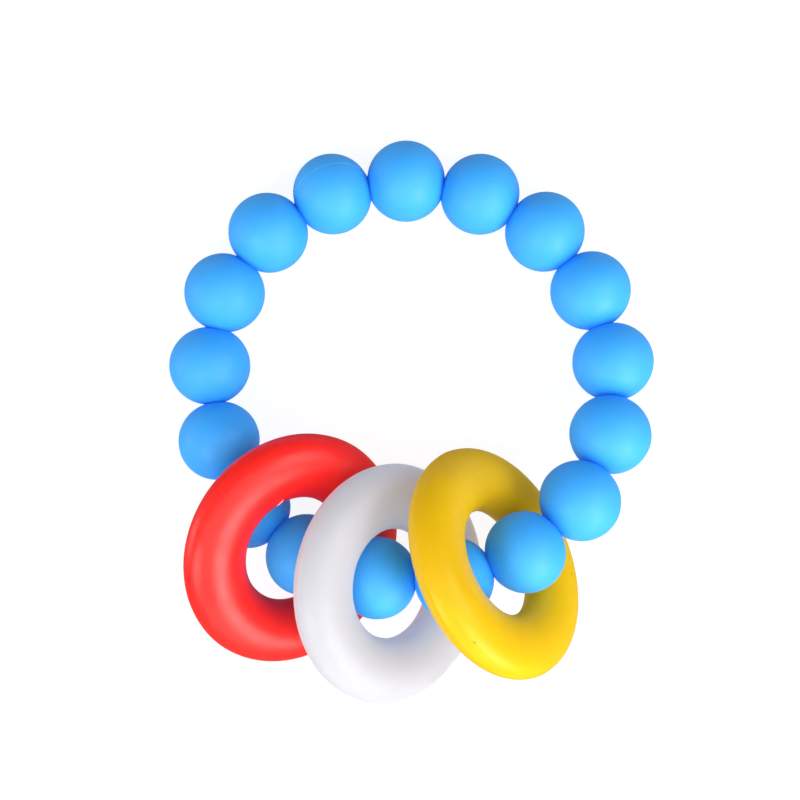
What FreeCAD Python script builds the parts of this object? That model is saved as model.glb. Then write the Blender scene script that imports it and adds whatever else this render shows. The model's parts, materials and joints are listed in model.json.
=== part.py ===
import FreeCAD, Part
import math
import os

# Teething ring: seventeen round silicone beads on a knotted cord that closes into a loop,
# with three loose silicone rings threaded on it. It lies on a table, with the cord
# passing over the low side of each ring and under its high side.
#
# Frame: millimetres, +Z up, Z = 0 is the table, the origin is the middle of the loop.
# Beads are numbered clockwise seen from above, starting at the far end of the loop.

Vector = FreeCAD.Vector
UP = Vector(0, 0, 1)

# Beads: 15 mm balls that the cord's pull shortens a little along the bore
bead_count = 17
bead_r = 7.5
bead_half = 7.15  # half of a bead's length along the bore, before its end flats
bead_arc_at = (bead_r**2 - bead_half**2) / (2 * bead_r)  # its outline arc's centre, from the bore's axis
bead_arc_r = bead_r - bead_arc_at
bore_r = 1.5
bore_flare = 0.4
bead_gap = 0.1  # kept between two neighbouring beads, whichever way both are turned

# Cord and its knot
cord_r = 0.75
knot_r = 1.5
knot_half = 2.0
knot_turns = 3
pocket_r = 2.3
pocket_half = 2.8

# The guide line that the cord follows round the loop, as lain on the table
loop_r = 38.0
# It is slightly out of round: for each number of lobes, their share of loop_r and degrees round
lobes = {
    2: (0.0133, -19.0),
    3: (0.0057, -5.9),
    4: (0.0103, 48.0),
    5: (0.0054, 6.4),
    6: (0.0063, 43.2),
}
first_corner_at = 102.0  # degrees round the loop to the joint between the last and first beads
lift = 11.4  # how far the rings hold the cord up
lift_at = -61.8
lift_left = 124.7  # degrees over which the cord comes down to the table, clockwise
lift_right = 84.9  # the same, counter-clockwise
guide_points = 72

# Rings: an oval section, wider across the ring than it is thick
ring_r = 15.9  # radius of the section's centre circle
section_across = 5.9  # half the section's width, along the ring's radius
section_thick = 4.2  # half the ring's thickness
# For each ring: degrees round the loop, distance from the middle of the loop,
# lean from lying flat, and turn about the vertical away from the cord's direction
ring_places = {
    "red_ring": (-124.91, 37.61, 36.35, 6.95),
    "white_ring": (-95.6, 37.29, 41.69, 2.02),
    "yellow_ring": (-65.13, 36.52, 54.5, 0.73),
}


def cord_height(angle):
    """Height of the guide line: on the table, with one smooth rise over the rings."""
    away = (angle - lift_at + 180) % 360 - 180
    reach = lift_right if away > 0 else lift_left
    share = min(abs(away) / reach, 1.0)
    return bead_r + lift * 0.5 * (1 + math.cos(math.pi * share))


def guide_point(angle):
    radius = loop_r
    for count, (share, at) in lobes.items():
        radius += loop_r * share * math.cos(math.radians(count * (angle - at)))
    turn = math.radians(angle)
    return Vector(radius * math.cos(turn), radius * math.sin(turn), cord_height(angle))


def cord_corners():
    """Points evenly spaced along the guide line, one between each pair of beads."""
    step = 360 / guide_points
    points = [guide_point(first_corner_at - step * i) for i in range(guide_points)]
    guide = Part.BSplineCurve()
    guide.interpolate(Points=points, PeriodicFlag=True)
    return guide.toShape().discretize(Number=bead_count + 1)[:-1]


def bead_axes(corners):
    """Centre and bore direction of each bead: the run of cord between two corners."""
    ends = corners[1:] + corners[:1]
    return [((a + b) * 0.5, (b - a).normalize()) for a, b in zip(corners, ends)]


def flat_height(axes):
    """Distance from a bead's centre to its end flats that clears every neighbour at any turn."""
    rise = math.pi / 2
    for i, (centre, axis) in enumerate(axes):
        next_centre, next_axis = axes[(i + 1) % len(axes)]
        chord = next_centre - centre
        bend = max(axis.getAngle(chord), next_axis.getAngle(chord))
        reach = 0.5 * (chord.Length - bead_gap) - bead_arc_at * math.sin(bend)
        rise = min(rise, math.asin(reach / bead_arc_r) - bend)
    return bead_arc_r * math.sin(rise)


def turned_solid(edges):
    """Solid of revolution about Z from a closed outline in the XZ plane."""
    face = Part.Face(Part.Wire(edges))
    return face.revolve(Vector(0, 0, 0), UP, 360)


def outline(points):
    return [Part.LineSegment(a, b).toShape() for a, b in zip(points, points[1:])]


def bead_solid(flat, knot_pocket=False):
    """A bead about Z: a shortened ball with two end flats and a bore that flares at its mouths."""
    flat_r = bead_arc_at + math.sqrt(bead_arc_r**2 - flat**2)
    inside = [
        Vector(flat_r, 0, flat),
        Vector(bore_r + bore_flare, 0, flat),
        Vector(bore_r, 0, flat - bore_flare),
    ]
    if knot_pocket:
        inside.append(Vector(bore_r, 0, pocket_half))
        inside.append(Vector(pocket_r, 0, pocket_half))
    mirrored = [Vector(p.x, 0, -p.z) for p in reversed(inside)]
    ball = Part.Arc(mirrored[-1], Vector(bead_r, 0, 0), inside[0]).toShape()
    return turned_solid(outline(inside + mirrored) + [ball])


def knot_solid():
    """A barrel knot about Z: rounded turns of cord side by side, with flat ends."""
    pitch = 2 * knot_half / knot_turns
    core = Vector(0, 0, -knot_half), Vector(knot_r - pitch / 2, 0, -knot_half)
    edges = outline(core)
    for i in range(knot_turns):
        low = -knot_half + pitch * i
        start = Vector(knot_r - pitch / 2, 0, low)
        crown = Vector(knot_r, 0, low + pitch / 2)
        end = Vector(knot_r - pitch / 2, 0, low + pitch)
        edges.append(Part.Arc(start, crown, end).toShape())
    edges += outline([end, Vector(0, 0, knot_half), Vector(0, 0, -knot_half)])
    return turned_solid(edges)


def rounded_path(points):
    """Straight runs joined by tangent arcs, each as large as its two runs allow."""
    edges = []
    start = points[0]
    for before, corner, after in zip(points, points[1:], points[2:]):
        back, ahead = before - corner, after - corner
        half_turn = (math.pi - back.getAngle(ahead)) / 2
        tangent = 0.45 * min(back.Length, ahead.Length)
        first = corner + back.normalize() * tangent
        last = corner + ahead.normalize() * tangent
        to_middle = (first + last) * 0.5 - corner
        radius = tangent / math.tan(half_turn)
        crown = corner + to_middle.normalize() * (radius / math.cos(half_turn) - radius)
        edges.append(Part.LineSegment(start, first).toShape())
        edges.append(Part.Arc(first, crown, last).toShape())
        print(f"cord bend {radius:.1f} mm")
        start = last
    edges.append(Part.LineSegment(start, points[-1]).toShape())
    return Part.Wire(edges)


def cord_solid(corners, knot_centre, knot_axis):
    """The cord: out of one end of the knot, round the loop and into the knot's other end."""
    leaves = knot_centre + knot_axis * knot_half
    returns = knot_centre - knot_axis * knot_half
    path = rounded_path([leaves] + corners[1:] + corners[:1] + [returns])
    section = Part.Wire(Part.Circle(leaves, knot_axis, cord_r).toShape())
    cord = path.makePipeShell([section], True, False)
    expected = math.pi * cord_r**2 * path.Length
    print(f"cord length {path.Length:.1f} mm, volume {cord.Volume / expected:.4f} of length x section")
    return cord


def ring_solid():
    """A ring about Z with an oval section."""
    section = Part.Ellipse(Vector(0, 0, 0), section_across, section_thick).toShape()
    section.rotate(Vector(0, 0, 0), Vector(1, 0, 0), 90)
    section.translate(Vector(ring_r, 0, 0))
    return turned_solid([section])


def ring_pose(place, distance, lean, turn):
    """Centre and axis of a ring that rests on the table with its low side on the right."""
    tilt = math.radians(lean)
    heading = math.radians(place + 90 + turn)
    axis = Vector(
        math.sin(tilt) * math.cos(heading), math.sin(tilt) * math.sin(heading), math.cos(tilt)
    )
    half_section = math.hypot(section_across * math.sin(tilt), section_thick * math.cos(tilt))
    centre = Vector(
        distance * math.cos(math.radians(place)),
        distance * math.sin(math.radians(place)),
        ring_r * math.sin(tilt) + half_section,
    )
    return centre, axis


def placed(solid, centre, axis):
    """The solid with its Z axis turned to axis and its origin moved to centre."""
    moved = solid.copy()
    moved.Placement = FreeCAD.Placement(centre, FreeCAD.Rotation(UP, axis))
    return moved


def build():
    corners = cord_corners()
    axes = bead_axes(corners)
    flat = flat_height(axes)
    plain_bead = bead_solid(flat)
    parts = {"bead_01": placed(bead_solid(flat, knot_pocket=True), *axes[0])}
    for i, (centre, axis) in enumerate(axes[1:], start=2):
        parts[f"bead_{i:02d}"] = placed(plain_bead, centre, axis)
    parts["cord"] = cord_solid(corners, *axes[0])
    parts["knot"] = placed(knot_solid(), *axes[0])
    for name, pose in ring_places.items():
        parts[name] = placed(ring_solid(), *ring_pose(*pose))
    return parts


def main():
    os.makedirs("parts", exist_ok=True)
    for name, shape in build().items():
        shape.exportStep(f"parts/{name}.step")


main()
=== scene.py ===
import json
import math
import random

import bmesh
import bpy
from mathutils import Matrix, Vector


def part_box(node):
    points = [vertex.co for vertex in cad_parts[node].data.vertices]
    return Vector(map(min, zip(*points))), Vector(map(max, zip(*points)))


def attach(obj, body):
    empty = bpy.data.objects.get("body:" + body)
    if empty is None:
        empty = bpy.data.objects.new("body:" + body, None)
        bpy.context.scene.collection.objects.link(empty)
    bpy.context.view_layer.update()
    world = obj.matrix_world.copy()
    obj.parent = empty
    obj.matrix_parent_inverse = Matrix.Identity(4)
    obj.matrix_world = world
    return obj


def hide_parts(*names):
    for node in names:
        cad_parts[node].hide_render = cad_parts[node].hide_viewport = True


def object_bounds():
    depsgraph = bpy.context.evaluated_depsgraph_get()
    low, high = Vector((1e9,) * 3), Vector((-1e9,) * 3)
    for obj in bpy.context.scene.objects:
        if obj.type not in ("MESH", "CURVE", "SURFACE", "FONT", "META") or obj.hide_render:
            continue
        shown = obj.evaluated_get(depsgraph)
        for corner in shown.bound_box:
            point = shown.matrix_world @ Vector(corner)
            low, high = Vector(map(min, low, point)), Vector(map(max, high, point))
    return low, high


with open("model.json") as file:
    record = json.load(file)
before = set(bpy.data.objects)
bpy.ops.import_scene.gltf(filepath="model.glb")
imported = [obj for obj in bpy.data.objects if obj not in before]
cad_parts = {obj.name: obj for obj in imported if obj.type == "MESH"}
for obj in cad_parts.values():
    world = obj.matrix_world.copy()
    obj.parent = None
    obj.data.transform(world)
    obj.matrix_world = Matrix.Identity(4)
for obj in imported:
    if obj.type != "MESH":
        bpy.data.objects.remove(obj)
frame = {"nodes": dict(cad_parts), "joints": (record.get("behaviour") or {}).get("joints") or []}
cad_box = [list(corner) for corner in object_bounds()]

# Teething ring: seventeen silicone beads on a cord, with three loose silicone rings.
# Metres, +Z up, Z = 0 is the table. Every piece stands on the joint of the CAD body that it rides on.

MM = 0.001
UP = Vector((0, 0, 1))
WHITE = (1.0, 1.0, 1.0, 1.0)
SPECK = (0.16, 0.07, 0.02, 1.0)
joints = {joint["name"]: joint for joint in frame["joints"]}
ring_names = ("red_ring", "white_ring", "yellow_ring")
bead_names = sorted(name for name in frame["nodes"] if name.startswith("bead_"))
random.seed(17)

# Beads: soft balls that the cord's pull has shortened a little along the bore
bead_low, bead_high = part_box("bead_01")
bead_r = (bead_high.z - bead_low.z) / 2
bead_half = 7.15 * MM
bead_arc_at = (bead_r**2 - bead_half**2) / (2 * bead_r)  # centre of the outline's arc, from the axis
bead_arc_r = bead_r - bead_arc_at
bore_r = 1.5 * MM
mouth_r = 0.5 * MM  # the soft skin closes in on the cord
mouth_round = 0.06 * MM
mouth_depth = 1.5  # of its rounding, as a share of mouth_round
pocket_r = 2.3 * MM
pocket_half = 2.8 * MM
bead_steps_along = 44
bead_steps_half_round = 32

# Rings: an oval section, wider across the ring than it is thick
ring_r = 15.9 * MM
section_across = 5.9 * MM
section_thick = 4.2 * MM
ring_steps_round = 192
ring_steps_half_section = 26

# Parting lines left by the moulds
line_height = 0.045 * MM
bead_17_line_height = 0.09 * MM
line_width = 0.16 * MM
line_offsets = (-0.6, -0.32, -0.18, -0.08, 0.0, 0.08, 0.18, 0.32, 0.6)  # where it has points, in mm
bead_17_line_from_up = 42.0  # degrees; on the other beads it lies near the table's plane
bead_line_spread = 18.0


def parting_line(distance, height=line_height):
    """Height of the parting line's ridge at a distance from its middle."""
    return height * math.exp(-((distance / line_width) ** 2))


# ---------------------------------------------------------------- meshes


def wrapped_mesh(name, rows):
    """A closed mesh from rows of points that wrap round both ways."""
    across = len(rows[0])
    points = [point for row in rows for point in row]
    faces = []
    for i in range(len(rows)):
        here, there = i * across, (i + 1) % len(rows) * across
        for j in range(across):
            k = (j + 1) % across
            faces.append((here + j, there + j, there + k, here + k))
    mesh = bpy.data.meshes.new(name)
    mesh.from_pydata(points, [], faces)
    shell = bmesh.new()
    shell.from_mesh(mesh)
    bmesh.ops.recalc_face_normals(shell, faces=shell.faces)
    shell.to_mesh(mesh)
    shell.free()
    mesh.shade_smooth()
    return mesh


def add_piece(name, mesh, material, place):
    piece = bpy.data.objects.new(name, mesh)
    bpy.context.scene.collection.objects.link(piece)
    piece.matrix_world = place
    mesh.materials.append(material)
    return piece


def standing_on(joint, sideways):
    """Placement whose Z is the joint's axis and whose X is nearest to sideways."""
    axis = Vector(joint["axis"]).normalized()
    x = (sideways - sideways.dot(axis) * axis).normalized()
    turned = Matrix((x, axis.cross(x), axis)).transposed().to_4x4()
    return Matrix.Translation(Vector(joint["pos_m"])) @ turned


# ---------------------------------------------------------------- materials


def add_node(tree, kind, **values):
    """A node with its settings, and with its sockets set by name or linked to the sockets given."""
    node = tree.nodes.new(kind)
    for key, value in values.items():
        if hasattr(node, key):
            setattr(node, key, value)
            continue
        socket = node.inputs[int(key[1:])] if key[1:].isdigit() else node.inputs[key.replace("_", " ")]
        if isinstance(value, bpy.types.NodeSocket):
            tree.links.new(value, socket)
        else:
            socket.default_value = value
    return node


def noise(tree, vector, scale, detail=2.0, roughness=0.5):
    made = add_node(
        tree, "ShaderNodeTexNoise", Vector=vector, Scale=scale, Detail=detail, Roughness=roughness
    )
    return made.outputs["Fac"]


def ranged(tree, value, from_low, from_high, to_low, to_high):
    made = add_node(
        tree, "ShaderNodeMapRange", Value=value,
        From_Min=from_low, From_Max=from_high, To_Min=to_low, To_Max=to_high,
    )
    return made.outputs["Result"]


def mixed(tree, factor, first, second):
    made = add_node(tree, "ShaderNodeMix", data_type="RGBA", i0=factor, i6=first, i7=second)
    return made.outputs[2]


def bumped(tree, height, strength, distance, over=None):
    """The shading normal of a relief, on top of another relief's if one is given."""
    made = add_node(tree, "ShaderNodeBump", Strength=strength, Distance=distance, Height=height)
    if over:
        tree.links.new(over, made.inputs["Normal"])
    return made.outputs["Normal"]


def surface_position(tree):
    """Position on the piece in millimetres, moved by a different amount for each piece."""
    where = add_node(tree, "ShaderNodeTexCoord").outputs["Object"]
    in_mm = add_node(tree, "ShaderNodeVectorMath", operation="SCALE", i0=where, Scale=1000.0).outputs[0]
    own = add_node(tree, "ShaderNodeObjectInfo").outputs["Random"]
    shift = add_node(tree, "ShaderNodeVectorMath", operation="SCALE", i0=(37.0, 71.0, 113.0), Scale=own)
    moved = add_node(tree, "ShaderNodeVectorMath", operation="ADD", i0=in_mm, i1=shift.outputs[0])
    return in_mm, moved.outputs[0]


def silicone(name, colour, deep, pale, rough, glow, glow_depth, painted_glow, gloss=WHITE, specks=()):
    """Moulded silicone: cloudy pigment, a blasted mould's fine grain, and light that wanders inside.

    colour and deep are the pigment's two shades, and pale is the lint's. The emission colour is a
    painted glow: light that the surface gives off everywhere, even where it lies in shade. gloss tints
    the highlights, and each of the specks is a dark dot: its place on the piece and its radius, in
    millimetres.
    """
    material = bpy.data.materials.new(name)
    material.use_nodes = True
    tree = material.node_tree
    shader = tree.nodes["Principled BSDF"]
    in_mm, where = surface_position(tree)

    clouds = ranged(tree, noise(tree, where, scale=0.16, detail=3.0), 0.3, 0.7, 0.0, 1.0)
    pigment = mixed(tree, clouds, deep, colour)
    grains = add_node(tree, "ShaderNodeTexVoronoi", Vector=where, Scale=0.42)
    lint = ranged(tree, grains.outputs["Distance"], 0.03, 0.055, 0.35, 0.0)
    tint = mixed(tree, lint, pigment, pale)
    for place, size in specks:
        away = add_node(tree, "ShaderNodeVectorMath", operation="DISTANCE", i0=in_mm, i1=place)
        inside = ranged(tree, away.outputs["Value"], size * 0.5, size, 0.75, 0.0)
        tint = mixed(tree, inside, tint, SPECK)
    tree.links.new(tint, shader.inputs["Base Color"])

    handled = noise(tree, where, scale=0.3)
    tree.links.new(ranged(tree, handled, 0.3, 0.7, rough - 0.05, rough + 0.05), shader.inputs["Roughness"])
    grain = noise(tree, where, scale=9.0, detail=3.0, roughness=0.6)
    waves = noise(tree, where, scale=0.7, detail=1.0)
    fine = bumped(tree, grain, 0.22, 0.02 * MM)
    tree.links.new(bumped(tree, waves, 0.5, 0.05 * MM, over=fine), shader.inputs["Normal"])
    shader.inputs["IOR"].default_value = 1.45
    shader.inputs["Specular Tint"].default_value = gloss
    # Painted glow: the emission colour lights the surface evenly, shade included, though it is no lamp.
    shader.inputs["Emission Color"].default_value = painted_glow
    shader.inputs["Emission Strength"].default_value = 1.0
    shader.inputs["Subsurface Weight"].default_value = glow
    shader.inputs["Subsurface Scale"].default_value = glow_depth
    shader.inputs["Subsurface Radius"].default_value = (1.0, 1.0, 1.0)
    return material


def braid(name, colour, shade):
    """Braided nylon: two sets of slanting strands that cross."""
    material = bpy.data.materials.new(name)
    material.use_nodes = True
    tree = material.node_tree
    shader = tree.nodes["Principled BSDF"]
    in_mm, where = surface_position(tree)
    strands = []
    for slant in ((1.0, 1.0, 0.6), (1.0, -1.0, -0.6)):
        turned = add_node(tree, "ShaderNodeVectorMath", operation="MULTIPLY", i0=in_mm, i1=slant).outputs[0]
        wave = add_node(tree, "ShaderNodeTexWave", Vector=turned, Scale=0.9, Distortion=0.6, Detail=1.0)
        wave.bands_direction = "DIAGONAL"
        strands.append(wave.outputs["Fac"])
    upper = add_node(tree, "ShaderNodeMath", operation="MAXIMUM", i0=strands[0], i1=strands[1])
    crossing = upper.outputs[0]
    fibres = noise(tree, where, scale=14.0)
    # The hollows between the strands darken to the second colour: painted shade.
    tree.links.new(mixed(tree, crossing, shade, colour), shader.inputs["Base Color"])
    tree.links.new(ranged(tree, fibres, 0.2, 0.8, 0.5, 0.75), shader.inputs["Roughness"])
    raised = bumped(tree, crossing, 0.8, 0.12 * MM)
    tree.links.new(bumped(tree, fibres, 0.3, 0.02 * MM, over=raised), shader.inputs["Normal"])
    shader.inputs["Sheen Weight"].default_value = 0.3
    return material


# ---------------------------------------------------------------- beads


def bead_profile(pocket):
    """Closed outline of a bead beside its bore: (radius, height, whether it is the ball's skin)."""
    end = math.acos((mouth_r + mouth_round - bead_arc_at) / bead_arc_r)
    outline = []
    for i in range(bead_steps_along + 1):
        rise = end - 2 * end * i / bead_steps_along
        outline.append((bead_arc_at + bead_arc_r * math.cos(rise), bead_arc_r * math.sin(rise), True))
    mouth_z = outline[0][1]
    inside = []
    for turn in (math.radians(30), math.radians(60), math.radians(90)):
        sunk = mouth_depth * mouth_round * (1 - math.cos(turn))
        inside.append((mouth_r + mouth_round * (1 - math.sin(turn)), mouth_z - sunk))
    inside += [(bore_r, mouth_z - (bore_r - mouth_r)), (bore_r, mouth_z * 0.7)]
    if pocket:
        inside += [(bore_r, pocket_half), (pocket_r, pocket_half * 0.96), (pocket_r, pocket_half * 0.4)]
    else:
        inside.append((bore_r, mouth_z * 0.3))
    lower = [(r, -z, False) for r, z in inside]
    upper = [(r, z, False) for r, z in reversed(inside)]
    return outline + lower + upper


def bead_turns():
    """Angles round the bore, close together at the two sides where the parting line runs."""
    near_line = [offset * MM / bead_r for offset in line_offsets]
    clear = near_line[-1]
    step = (math.pi - 2 * clear) / bead_steps_half_round
    half = near_line + [clear + step * i for i in range(1, bead_steps_half_round)]
    return half + [turn + math.pi for turn in half]


def bead_mesh(name, pocket, ridge):
    """A bead about Z. ridge is the height of its parting line, which runs along the bore on both sides."""
    rows = []
    for turn in bead_turns():
        side = math.sin(turn)
        row = []
        for r, z, skin in bead_profile(pocket):
            grown = 1.0
            if skin:
                grown += parting_line(r * side, ridge) / bead_r
            row.append((r * grown * math.cos(turn), r * grown * math.sin(turn), z * grown))
        rows.append(row)
    return wrapped_mesh(name, rows)


def add_bead(name, material):
    joint = joints[f"{name}_spin"]
    outward = Vector(joint["pos_m"]) - Vector((0, 0, joint["pos_m"][2]))
    rise, ridge = random.uniform(-bead_line_spread, bead_line_spread), line_height
    if name == "bead_17":
        rise, ridge = 90 - bead_17_line_from_up, bead_17_line_height
    sideways = outward.normalized() * math.cos(math.radians(rise)) + UP * math.sin(math.radians(rise))
    mesh = bead_mesh(f"soft_{name}", name == "bead_01", ridge)
    piece = add_piece(f"soft_{name}", mesh, material, standing_on(joint, sideways))
    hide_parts(name)
    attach(piece, name)


# ---------------------------------------------------------------- rings


def ring_point(around, section, proud=0.0):
    """Point on a ring about Z, at an angle around from X and an angle of the section from its outside."""
    across, along = math.cos(section), math.sin(section)
    normal = Vector((across / section_across, along / section_thick)).normalized()
    radius = ring_r + section_across * across + normal.x * proud
    height = section_thick * along + normal.y * proud
    return (radius * math.cos(around), radius * math.sin(around), height)


def ring_sections():
    """Angles round the section, close together at the parting lines outside and in the hole."""
    near_line = [math.asin(offset * MM / section_thick) for offset in line_offsets]
    clear = near_line[-1]
    step = (math.pi - 2 * clear) / ring_steps_half_section
    half = near_line + [clear + step * i for i in range(1, ring_steps_half_section)]
    return half + [section + math.pi for section in half]


def ring_mesh(name):
    rows = []
    for i in range(ring_steps_round):
        around = 2 * math.pi * i / ring_steps_round
        rows.append(
            [
                ring_point(around, section, parting_line(section_thick * math.sin(section)))
                for section in ring_sections()
            ]
        )
    return wrapped_mesh(name, rows)


def add_ring(name, material):
    mesh = ring_mesh(f"soft_{name}")
    piece = add_piece(f"soft_{name}", mesh, material, standing_on(joints[f"axial_turn_{name}"], UP))
    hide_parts(name)
    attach(piece, name)


def flash_mesh(name):
    """A sliver, three-sided and pointed at both ends, that stands a little aslant at the hole's edge."""
    around, section = math.radians(-37), math.radians(142)
    half_length, slant, half_width, height, sunk = 0.07, 0.17, 0.02, 0.22 * MM, 0.04 * MM
    steps = 12
    rows = []
    for i in range(1, steps):
        swell = math.sin(math.pi * i / steps)
        along = 2 * i / steps - 1
        here, crest = around + half_length * along, section + slant * along
        rows.append(
            [
                ring_point(here, crest - half_width * swell, -sunk),
                ring_point(here, crest, height * swell),
                ring_point(here, crest + half_width * swell, -sunk),
            ]
        )
    tips = [ring_point(around + half_length * side, section + slant * side, -sunk) for side in (-1, 1)]
    points = [point for row in rows for point in row] + tips
    last = 3 * (len(rows) - 1)
    faces = []
    for j in range(3):
        k = (j + 1) % 3
        faces += [(3 * i + j, 3 * i + 3 + j, 3 * i + 3 + k, 3 * i + k) for i in range(len(rows) - 1)]
        faces += [(len(points) - 2, j, k), (len(points) - 1, last + k, last + j)]
    mesh = bpy.data.meshes.new(name)
    mesh.from_pydata(points, [], faces)
    mesh.shade_smooth()
    return mesh


def add_flash(material):
    """The sliver that the mould left standing on the red ring."""
    name = "soft_red_ring_flash"
    piece = add_piece(name, flash_mesh(name), material, standing_on(joints["axial_turn_red_ring"], UP))
    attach(piece, "red_ring")


# ---------------------------------------------------------------- stage


def floor_mesh():
    half = 2.5
    mesh = bpy.data.meshes.new("floor")
    corners = [(-half, -half, 0), (half, -half, 0), (half, half, 0), (-half, half, 0)]
    mesh.from_pydata(corners, [], [(0, 1, 2, 3)])
    return mesh


def backdrop_mesh():
    """A ring of wall that curves up out of the floor all round."""
    flat_to, curve, top, bend_steps, steps = 1.0, 1.2, 2.5, 12, 64
    bends = [math.pi / 2 * i / bend_steps for i in range(bend_steps + 1)]
    outline = [(flat_to + curve * math.sin(bend), curve * (1 - math.cos(bend))) for bend in bends]
    outline.append((flat_to + curve, top))
    turns = [2 * math.pi * i / steps for i in range(steps)]
    points = [(r * math.cos(turn), r * math.sin(turn), z) for r, z in outline for turn in turns]
    faces = []
    for i in range(len(outline) - 1):
        here, there = i * steps, (i + 1) * steps
        for j in range(steps):
            k = (j + 1) % steps
            faces.append((here + j, here + k, there + k, there + j))
    mesh = bpy.data.meshes.new("backdrop")
    mesh.from_pydata(points, [], faces)
    mesh.shade_smooth()
    return mesh


def add_stage():
    """A pale floor that glows a little, so that its shadows stay faint, and a backdrop for level views."""
    material = bpy.data.materials.new("pale_floor")
    material.use_nodes = True
    shader = material.node_tree.nodes["Principled BSDF"]
    shader.inputs["Base Color"].default_value = (0.2, 0.2, 0.2, 1.0)
    shader.inputs["Roughness"].default_value = 0.9
    shader.inputs["Specular IOR Level"].default_value = 0.0
    shader.inputs["Emission Color"].default_value = WHITE
    shader.inputs["Emission Strength"].default_value = 0.86
    stands_at = Matrix.Translation((0, 0, cad_box[0][2] - 0.05 * MM))
    floor = add_piece("floor", floor_mesh(), material, stands_at)
    backdrop = add_piece("backdrop", backdrop_mesh(), material, stands_at)
    backdrop.visible_diffuse = False
    backdrop.visible_shadow = False
    for piece in (floor, backdrop):
        piece.visible_glossy = False


def add_softbox(name, azimuth, elevation, power, size=0.36, height=0.36, colour=WHITE[:3]):
    """A soft light that faces the object. Azimuth is from +X towards +Y."""
    distance = 0.75
    turn, rise = math.radians(azimuth), math.radians(elevation)
    towards = Vector((math.cos(turn) * math.cos(rise), math.sin(turn) * math.cos(rise), math.sin(rise)))
    light = bpy.data.lights.new(name, "AREA")
    light.shape = "RECTANGLE"
    light.size = size
    light.size_y = height
    light.energy = power
    light.color = colour
    lamp = bpy.data.objects.new(name, light)
    bpy.context.scene.collection.objects.link(lamp)
    lamp.location = towards * distance
    lamp.rotation_mode = "QUATERNION"
    lamp.rotation_quaternion = towards.to_track_quat("Z", "Y")


def add_light():
    """A tall window in front on the right, a smaller one on the left, and weak light from elsewhere."""
    world = bpy.data.worlds.new("studio")
    world.use_nodes = True
    sky = world.node_tree.nodes["Background"]
    sky.inputs["Color"].default_value = WHITE
    sky.inputs["Strength"].default_value = 0.18
    bpy.context.scene.world = world
    add_softbox("window_high", azimuth=-42, elevation=37, power=2.7)
    add_softbox("window_low", azimuth=-50, elevation=16, power=1.8)
    add_softbox("left_window", azimuth=-135, elevation=40, power=2.3)
    add_softbox("overhead", azimuth=-60, elevation=76, power=2.8, size=0.8, height=0.8)
    add_softbox("far_left", azimuth=180, elevation=5, power=1.5)
    add_softbox("right_fill", azimuth=10, elevation=38, power=1.6)
    add_softbox("left_fill", azimuth=160, elevation=38, power=0.8, size=0.8, height=0.8)
    cool = (0.72, 0.87, 1.0)
    add_softbox("back_fill", azimuth=70, elevation=48, power=0.3, size=0.9, height=0.9, colour=cool)
    add_softbox("front_low", azimuth=-85, elevation=20, power=1.5, size=0.7, height=0.4)
    bpy.context.scene.view_settings.view_transform = "Standard"


def add_camera():
    """Straight above, a little in front of the loop's middle, with +Y up in the picture."""
    data = bpy.data.cameras.new("camera")
    data.sensor_width = 36.0
    data.lens = 102.5
    data.clip_start = 0.01
    data.clip_end = 10.0
    camera = bpy.data.objects.new("camera", data)
    bpy.context.scene.collection.objects.link(camera)
    camera.location = (-1.9 * MM, -3.75 * MM, 430 * MM)
    bpy.context.scene.camera = camera


# ---------------------------------------------------------------- the object

# Each silicone's emission colour below is a painted glow that lifts its shade, strongest on the white.
blue = silicone(
    "blue_silicone",
    colour=(0.040, 0.395, 0.93, 1.0), deep=(0.036, 0.37, 0.91, 1.0), pale=(0.3, 0.6, 0.95, 1.0),
    rough=0.5, glow=0.12, glow_depth=1.2 * MM, painted_glow=(0.0, 0.0, 0.03, 1.0),
)
for bead_name in bead_names:
    add_bead(bead_name, blue)

red = silicone(
    "red_silicone",
    colour=(0.92, 0.013, 0.008, 1.0), deep=(0.88, 0.011, 0.007, 1.0), pale=(1.0, 0.3, 0.3, 1.0),
    rough=0.36, glow=0.35, glow_depth=2.0 * MM, painted_glow=(0.02, 0.0, 0.0, 1.0),
)
white = silicone(
    "white_silicone",
    colour=(0.37, 0.37, 0.395, 1.0), deep=(0.355, 0.355, 0.38, 1.0), pale=(0.75, 0.75, 0.78, 1.0),
    rough=0.45, glow=1.0, glow_depth=9.0 * MM, painted_glow=(0.215, 0.207, 0.225, 1.0),
)
yellow = silicone(
    "yellow_silicone",
    colour=(0.69, 0.45, 0.002, 1.0), deep=(0.65, 0.42, 0.002, 1.0), pale=(1.0, 0.8, 0.3, 1.0),
    rough=0.36, glow=0.6, glow_depth=4.0 * MM, painted_glow=(0.08, 0.02, 0.0, 1.0), gloss=(1.0, 0.9, 0.45, 1.0),
    specks=(
        ([x / MM for x in ring_point(math.radians(27), math.radians(27))], 0.28),
        ([x / MM for x in ring_point(math.radians(149), math.radians(78))], 0.25),
    ),
)
for ring_name, ring_material in zip(ring_names, (red, white, yellow)):
    add_ring(ring_name, ring_material)
# The sliver's pale pink and its glow are a painted highlight, so that it shows though it lies in shade.
add_flash(
    silicone(
        "red_flash_painted_highlight",
        colour=(1.0, 0.5, 0.52, 1.0), deep=(0.95, 0.42, 0.44, 1.0), pale=(1.0, 0.6, 0.6, 1.0),
        rough=0.4, glow=0.3, glow_depth=0.5 * MM, painted_glow=(0.3, 0.08, 0.1, 1.0),
    )
)

cord_material = braid("braided_cord", colour=(0.69, 0.71, 0.75, 1.0), shade=(0.42, 0.44, 0.5, 1.0))
for node_name in ("cord", "knot"):
    frame["nodes"][node_name].data.materials.clear()
    frame["nodes"][node_name].data.materials.append(cord_material)

add_stage()
add_light()
add_camera()
